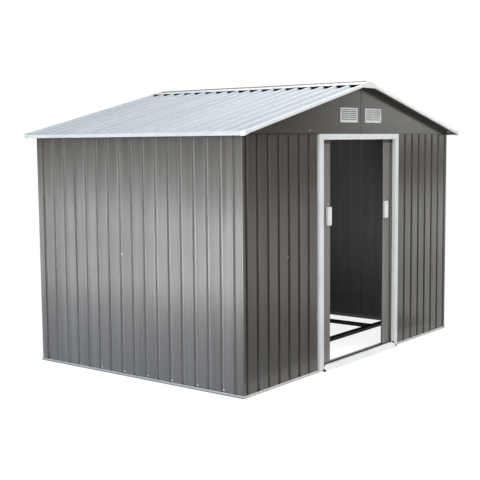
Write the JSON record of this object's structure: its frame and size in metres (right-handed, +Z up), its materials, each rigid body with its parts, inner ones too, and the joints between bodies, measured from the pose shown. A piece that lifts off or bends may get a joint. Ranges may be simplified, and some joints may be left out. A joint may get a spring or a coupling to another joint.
{
  "type": "metal storage shed",
  "caption": "Apex metal storage shed of ribbed sheet on a base frame, with sliding doors in the gable side, white trim, louvred gable vents and a ribbed roof.",
  "frame": {"origin": "on the ground below the middle of the shed, at the bottom centre of its box", "axes": "+Z up, the doorway faces -Y, the ridge runs along Y and the gable side along X"},
  "size_m": [2.773, 1.912, 1.9028],
  "materials": {
    "wall_sheet": "satin coated sheet",
    "roof_sheet": "satin pale silver coating",
    "white_trim": "satin white coating",
    "white_plastic": "moulded white",
    "galvanised": "galvanised",
    "beam_black": "dark coated"
  },
  "bodies": {
    "shed": {"front_wall_left": "wall_sheet", "front_wall_right": "wall_sheet", "left_wall": "wall_sheet", "right_wall": "wall_sheet", "rear_wall": "wall_sheet", "corner_front_left": "wall_sheet", "corner_front_right": "wall_sheet", "corner_rear_left": "wall_sheet", "corner_rear_right": "wall_sheet", "gable_front_left": "wall_sheet", "gable_front_right": "wall_sheet", "gable_rear_left": "wall_sheet", "gable_rear_right": "wall_sheet", "roof_left": "roof_sheet", "roof_right": "roof_sheet", "ridge_cap": "white_trim", "eave_trim_left": "white_trim", "eave_trim_right": "white_trim", "verge_trim_front": "white_trim", "verge_trim_rear": "white_trim", "door_header": "white_trim", "door_jamb_left": "white_trim", "door_jamb_right": "white_trim", "threshold": "white_trim", "vents": "white_plastic", "peak_caps": "white_plastic", "corner_caps": "white_plastic", "base_rail_front": "galvanised", "base_rail_rear": "galvanised", "base_rail_left": "galvanised", "base_rail_right": "galvanised", "lower_door_track": "galvanised", "top_rails": "galvanised", "upper_door_track": "galvanised", "ridge_beam": "galvanised", "roof_beams": "galvanised", "floor_beams": "beam_black"},
    "left_door": {"left_door": "wall_sheet", "left_door_rails": "wall_sheet", "left_door_hangers": "galvanised", "left_door_handle": "white_plastic"},
    "right_door": {"right_door": "wall_sheet", "right_door_rails": "wall_sheet", "right_door_hangers": "galvanised", "right_door_handle": "white_plastic"}
  },
  "joints": [
    {"name": "left_door_slide", "type": "slide", "parent": "shed", "child": "left_door", "axis": [1, 0, 0], "range_m": [-0.075, 0.34]},
    {"name": "right_door_slide", "type": "slide", "parent": "shed", "child": "right_door", "axis": [-1, 0, 0], "range_m": [-0.057, 0.358]}
  ]
}
